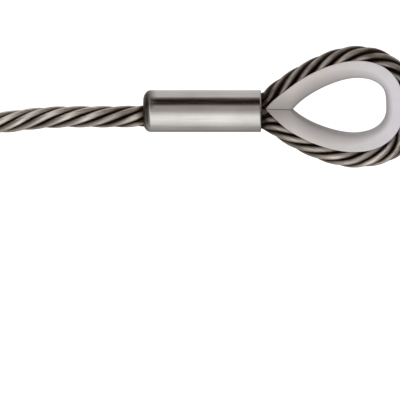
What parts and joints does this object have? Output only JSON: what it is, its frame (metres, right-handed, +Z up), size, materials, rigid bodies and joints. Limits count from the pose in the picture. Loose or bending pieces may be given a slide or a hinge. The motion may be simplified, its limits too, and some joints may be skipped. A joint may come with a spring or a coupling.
{
  "type": "wire rope sling",
  "caption": "Short stranded steel wire rope sling with a thimbled, ferrule-secured eye at each end, for lifting and lashing.",
  "frame": {"origin": "on the surface the sling lies on, below the middle of the sling", "axes": "+X along the sling towards the near eye, +Y across it in the plane of the eyes, +Z up out of that plane"},
  "size_m": [0.7356, 0.104, 0.0287],
  "materials": {
    "rope_wire": "bright drawn steel wire, lightly oiled",
    "core_wire": "dark oiled steel wire",
    "ferrule_steel": "pressed, satin polished along its length",
    "thimble_zinc": "dull galvanised"
  },
  "bodies": {
    "middle": {"rope_middle": "rope_wire"},
    "near_lead": {"near_lead_rope": "rope_wire"},
    "far_lead": {"far_lead_rope": "rope_wire"},
    "near_eye": {"near_thimble": "thimble_zinc", "near_ferrule": "ferrule_steel", "near_eye_strand_1": "rope_wire", "near_eye_strand_2": "rope_wire", "near_eye_strand_3": "rope_wire", "near_eye_strand_4": "rope_wire", "near_eye_strand_5": "rope_wire", "near_eye_strand_6": "rope_wire", "near_eye_core": "core_wire"},
    "far_eye": {"far_thimble": "thimble_zinc", "far_ferrule": "ferrule_steel", "far_eye_strand_1": "rope_wire", "far_eye_strand_2": "rope_wire", "far_eye_strand_3": "rope_wire", "far_eye_strand_4": "rope_wire", "far_eye_strand_5": "rope_wire", "far_eye_strand_6": "rope_wire", "far_eye_core": "core_wire"}
  },
  "joints": [
    {"name": "near_swing", "type": "hinge", "parent": "middle", "child": "near_lead", "pos_m": [0.1, 0.0042, 0.0085], "axis": [0, 0, 1], "range_deg": [-25, 25], "stiffness_Nm_per_rad": 6, "deforming": ["near_lead_rope"]},
    {"name": "near_lift", "type": "hinge", "parent": "near_lead", "child": "near_eye", "pos_m": [0.165, 0.0103, 0.0159], "axis": [0, -1, 0], "range_deg": [0, 30], "stiffness_Nm_per_rad": 6, "deforming": ["near_lead_rope"]},
    {"name": "far_swing", "type": "hinge", "parent": "middle", "child": "far_lead", "pos_m": [-0.1, -0.0042, 0.0085], "axis": [0, 0, 1], "range_deg": [-25, 25], "stiffness_Nm_per_rad": 6, "deforming": ["far_lead_rope"]},
    {"name": "far_lift", "type": "hinge", "parent": "far_lead", "child": "far_eye", "pos_m": [-0.165, -0.0103, 0.0159], "axis": [0, 1, 0], "range_deg": [0, 30], "stiffness_Nm_per_rad": 6, "deforming": ["far_lead_rope"]}
  ]
}
